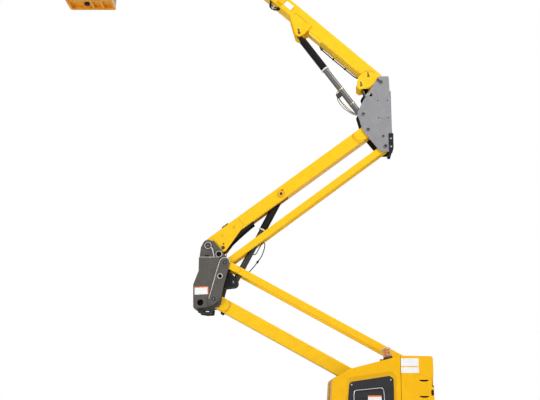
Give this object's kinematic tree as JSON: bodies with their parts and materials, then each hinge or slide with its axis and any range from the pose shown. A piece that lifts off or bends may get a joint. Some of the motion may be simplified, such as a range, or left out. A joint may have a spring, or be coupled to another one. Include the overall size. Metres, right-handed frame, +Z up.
{
  "type": "articulating boom lift",
  "caption": "Self-propelled articulating boom lift: two stacked riser arms, telescopic boom, jib and rotating work platform on a slewing wheeled base.",
  "frame": {"origin": "on the ground below the centre of the whole machine's bounding box", "axes": "+X forward along the chassis, +Y to the machine's left, +Z up"},
  "size_m": [5.964, 1.83, 8.614],
  "materials": {
    "arm_yellow": "gloss paint",
    "hood_yellow": "moulded gloss",
    "panel_dark": "matte",
    "knuckle_grey": "satin paint",
    "head_grey": "satin paint",
    "chassis_paint": "satin paint",
    "weight_paint": "painted casting",
    "battery_case": "matte",
    "tyre": "rubber",
    "rim_paint": "gloss paint",
    "barrel_grey": "gloss paint",
    "rod_chrome": "polished",
    "bellows": "matte",
    "platform_paint": "satin paint",
    "deck_paint": "satin paint",
    "console_plastic": "matte",
    "beacon_amber": "clear amber"
  },
  "bodies": {
    "chassis": {"chassis": "chassis_paint", "front_axle": "chassis_paint", "rear_axle": "chassis_paint"},
    "steer_rod": {"steer_rod": "rod_chrome"},
    "knuckle_left": {"knuckle_left": "chassis_paint"},
    "knuckle_right": {"knuckle_right": "chassis_paint"},
    "wheel_front_left": {"tyre_front_left": "tyre", "rim_front_left": "rim_paint"},
    "wheel_front_right": {"tyre_front_right": "tyre", "rim_front_right": "rim_paint"},
    "wheel_rear_left": {"tyre_rear_left": "tyre", "rim_rear_left": "rim_paint"},
    "wheel_rear_right": {"tyre_rear_right": "tyre", "rim_rear_right": "rim_paint"},
    "turntable": {"turntable": "knuckle_grey", "counterweight": "weight_paint", "rear_boxes": "hood_yellow", "battery": "battery_case", "hydraulic_unit": "battery_case"},
    "hood_left": {"hood_left": "hood_yellow", "hood_panel_left": "panel_dark", "beacon_base": "console_plastic", "beacon_lens": "beacon_amber"},
    "hood_right": {"hood_right": "hood_yellow", "hood_panel_right": "panel_dark"},
    "lower_riser": {"lower_riser": "arm_yellow"},
    "lower_link": {"lower_link": "arm_yellow"},
    "mid_knuckle": {"mid_knuckle": "knuckle_grey"},
    "upper_riser": {"upper_riser": "arm_yellow"},
    "upper_link": {"upper_link": "arm_yellow"},
    "upper_knuckle": {"upper_knuckle": "head_grey"},
    "riser_barrel": {"riser_barrel": "barrel_grey"},
    "riser_rod": {"riser_rod": "rod_chrome", "riser_bellows": "bellows"},
    "lift_barrel": {"lift_barrel": "barrel_grey"},
    "lift_rod": {"lift_rod": "rod_chrome", "lift_bellows": "bellows"},
    "master_barrel": {"master_barrel": "barrel_grey"},
    "master_rod": {"master_rod": "rod_chrome"},
    "main_boom": {"main_boom": "arm_yellow"},
    "boom_extension": {"boom_extension": "arm_yellow"},
    "jib_base": {"jib_base": "arm_yellow"},
    "jib_arm": {"jib_arm": "arm_yellow"},
    "jib_link": {"jib_link": "arm_yellow"},
    "jib_head": {"jib_head": "arm_yellow"},
    "jib_barrel": {"jib_barrel": "barrel_grey"},
    "jib_rod": {"jib_rod": "rod_chrome"},
    "platform": {"platform_deck": "deck_paint", "platform_mount": "head_grey", "platform_rails": "platform_paint", "control_console": "console_plastic"},
    "platform_gate": {"platform_gate": "platform_paint"}
  },
  "joints": [
    {"name": "wheel_front_left_spin", "type": "hinge", "parent": "knuckle_left", "child": "wheel_front_left", "pos_m": [-0.597, 0.765, 0.345], "axis": [0, 1, 0], "continuous": true},
    {"name": "wheel_rear_left_spin", "type": "hinge", "parent": "chassis", "child": "wheel_rear_left", "pos_m": [-2.637, 0.765, 0.345], "axis": [0, 1, 0], "continuous": true},
    {"name": "steer_left", "type": "hinge", "parent": "chassis", "child": "knuckle_left", "pos_m": [-0.597, 0.56, 0.345], "axis": [0, 0, 1], "range_deg": [-38, 38]},
    {"name": "wheel_front_right_spin", "type": "hinge", "parent": "knuckle_right", "child": "wheel_front_right", "pos_m": [-0.597, -0.765, 0.345], "axis": [0, 1, 0], "continuous": true},
    {"name": "wheel_rear_right_spin", "type": "hinge", "parent": "chassis", "child": "wheel_rear_right", "pos_m": [-2.637, -0.765, 0.345], "axis": [0, 1, 0], "continuous": true},
    {"name": "steer_right", "type": "hinge", "parent": "chassis", "child": "knuckle_right", "pos_m": [-0.597, -0.56, 0.345], "axis": [0, 0, 1], "range_deg": [-38, 38]},
    {"name": "steer_slide", "type": "slide", "parent": "chassis", "child": "steer_rod", "axis": [0, -1, 0], "range_m": [-0.08719, 0.08719]},
    {"name": "swing", "type": "hinge", "parent": "chassis", "child": "turntable", "pos_m": [-1.617, 0, 0.715], "axis": [0, 0, 1], "range_deg": [-177.5, 177.5]},
    {"name": "hood_left_open", "type": "hinge", "parent": "turntable", "child": "hood_left", "pos_m": [-1.617, 0.25, 1.658], "axis": [1, 0, 0], "range_deg": [0, 60]},
    {"name": "hood_right_open", "type": "hinge", "parent": "turntable", "child": "hood_right", "pos_m": [-1.617, -0.25, 1.658], "axis": [-1, 0, 0], "range_deg": [0, 60]},
    {"name": "riser_lift", "type": "hinge", "parent": "turntable", "child": "lower_riser", "pos_m": [-2.196, 0, 1.083], "axis": [0, -1, 0], "range_deg": [-33, 31]},
    {"name": "lower_link_swing", "type": "hinge", "parent": "turntable", "child": "lower_link", "pos_m": [-2.338, 0, 1.594], "axis": [0, -1, 0], "range_deg": [-33, 31]},
    {"name": "mid_knuckle_level", "type": "hinge", "parent": "lower_riser", "child": "mid_knuckle", "pos_m": [0.33499, 0, 2.45722], "axis": [0, -1, 0], "range_deg": [-31, 33]},
    {"name": "upper_riser_lift", "type": "hinge", "parent": "mid_knuckle", "child": "upper_riser", "pos_m": [0.44299, 0, 3.22322], "axis": [0, 1, 0], "range_deg": [-33, 31]},
    {"name": "upper_link_swing", "type": "hinge", "parent": "mid_knuckle", "child": "upper_link", "pos_m": [0.19299, 0, 2.96822], "axis": [0, 1, 0], "range_deg": [-33, 31]},
    {"name": "upper_knuckle_level", "type": "hinge", "parent": "upper_riser", "child": "upper_knuckle", "pos_m": [-1.85708, 0, 4.95644], "axis": [0, 1, 0], "range_deg": [-31, 33]},
    {"name": "boom_lift", "type": "hinge", "parent": "upper_knuckle", "child": "main_boom", "pos_m": [-2.06308, 0, 5.70144], "axis": [0, -1, 0], "range_deg": [-40, 30]},
    {"name": "boom_extend", "type": "slide", "parent": "main_boom", "child": "boom_extension", "axis": [0.7396, 0, 0.673], "range_m": [0, 1.75]},
    {"name": "jib_base_level", "type": "hinge", "parent": "boom_extension", "child": "jib_base", "pos_m": [0.72533, 0, 8.2387], "axis": [0, -1, 0], "range_deg": [-30, 40]},
    {"name": "jib_lift", "type": "hinge", "parent": "jib_base", "child": "jib_arm", "pos_m": [0.92033, 0, 8.1827], "axis": [0, -1, 0], "range_deg": [-42, 76]},
    {"name": "jib_link_swing", "type": "hinge", "parent": "jib_base", "child": "jib_link", "pos_m": [0.88033, 0, 8.4127], "axis": [0, -1, 0], "range_deg": [-42, 76]},
    {"name": "jib_head_level", "type": "hinge", "parent": "jib_arm", "child": "jib_head", "pos_m": [1.92004, 0, 7.89604], "axis": [0, -1, 0], "range_deg": [-76, 42]},
    {"name": "platform_rotate", "type": "hinge", "parent": "jib_head", "child": "platform", "pos_m": [2.082, 0, 7.89604], "axis": [0, 0, 1], "range_deg": [-80, 80]},
    {"name": "gate_open", "type": "hinge", "parent": "platform", "child": "platform_gate", "pos_m": [2.371, 0.896, 8.09304], "axis": [0, 0, -1], "range_deg": [0, 85]},
    {"name": "riser_barrel_swing", "type": "hinge", "parent": "mid_knuckle", "child": "riser_barrel", "pos_m": [0.07599, 0, 2.70222], "axis": [0, -1, 0], "range_deg": [-25.3, 26.9]},
    {"name": "riser_rod_slide", "type": "slide", "parent": "riser_barrel", "child": "riser_rod", "axis": [-0.4569, 0, 0.8895], "range_m": [-0.3259, 0.30627]},
    {"name": "lift_barrel_swing", "type": "hinge", "parent": "upper_knuckle", "child": "lift_barrel", "pos_m": [-1.78908, 0, 5.19444], "axis": [0, -1, 0], "range_deg": [-35.21, 26.53]},
    {"name": "lift_rod_slide", "type": "slide", "parent": "lift_barrel", "child": "lift_rod", "axis": [0.5839, 0, 0.8118], "range_m": [-0.36723, 0.27592]},
    {"name": "master_barrel_swing", "type": "hinge", "parent": "upper_knuckle", "child": "master_barrel", "pos_m": [-2.07708, 0.081, 4.85344], "axis": [0, -1, 0], "range_deg": [-2.12, 1.72]},
    {"name": "master_rod_slide", "type": "slide", "parent": "master_barrel", "child": "master_rod", "axis": [0.3558, 0, 0.9345], "range_m": [-0.19687, 0.14816]},
    {"name": "jib_barrel_swing", "type": "hinge", "parent": "jib_base", "child": "jib_barrel", "pos_m": [0.92033, 0, 8.1827], "axis": [0, -1, 0], "range_deg": [-42.01, 75.61]},
    {"name": "jib_rod_slide", "type": "slide", "parent": "jib_barrel", "child": "jib_rod", "axis": [0.9983, 0, -0.0589], "range_m": [-0.14515, 0.26103]}
  ],
  "couplings": [
    {"joint": "steer_right", "follows": "steer_left", "ratio": 1},
    {"joint": "steer_slide", "follows": "steer_left", "m_per_rad": 0.12996},
    {"joint": "lower_link_swing", "follows": "riser_lift", "ratio": 1},
    {"joint": "mid_knuckle_level", "follows": "riser_lift", "ratio": -1},
    {"joint": "upper_riser_lift", "follows": "riser_lift", "ratio": 1},
    {"joint": "upper_link_swing", "follows": "riser_lift", "ratio": 1},
    {"joint": "upper_knuckle_level", "follows": "riser_lift", "ratio": -1},
    {"joint": "jib_base_level", "follows": "boom_lift", "ratio": -1},
    {"joint": "jib_link_swing", "follows": "jib_lift", "ratio": 1},
    {"joint": "jib_head_level", "follows": "jib_lift", "ratio": -1},
    {"joint": "riser_barrel_swing", "follows": "riser_lift", "ratio": -0.80007},
    {"joint": "riser_rod_slide", "follows": "riser_lift", "m_per_rad": 0.56237},
    {"joint": "lift_barrel_swing", "follows": "boom_lift", "ratio": 0.86778},
    {"joint": "lift_rod_slide", "follows": "boom_lift", "m_per_rad": 0.52315},
    {"joint": "master_barrel_swing", "follows": "boom_lift", "ratio": 0.040553},
    {"joint": "master_rod_slide", "follows": "boom_lift", "m_per_rad": 0.27914},
    {"joint": "jib_barrel_swing", "follows": "jib_lift", "ratio": 0.98823},
    {"joint": "jib_rod_slide", "follows": "jib_lift", "m_per_rad": 0.19528}
  ]
}
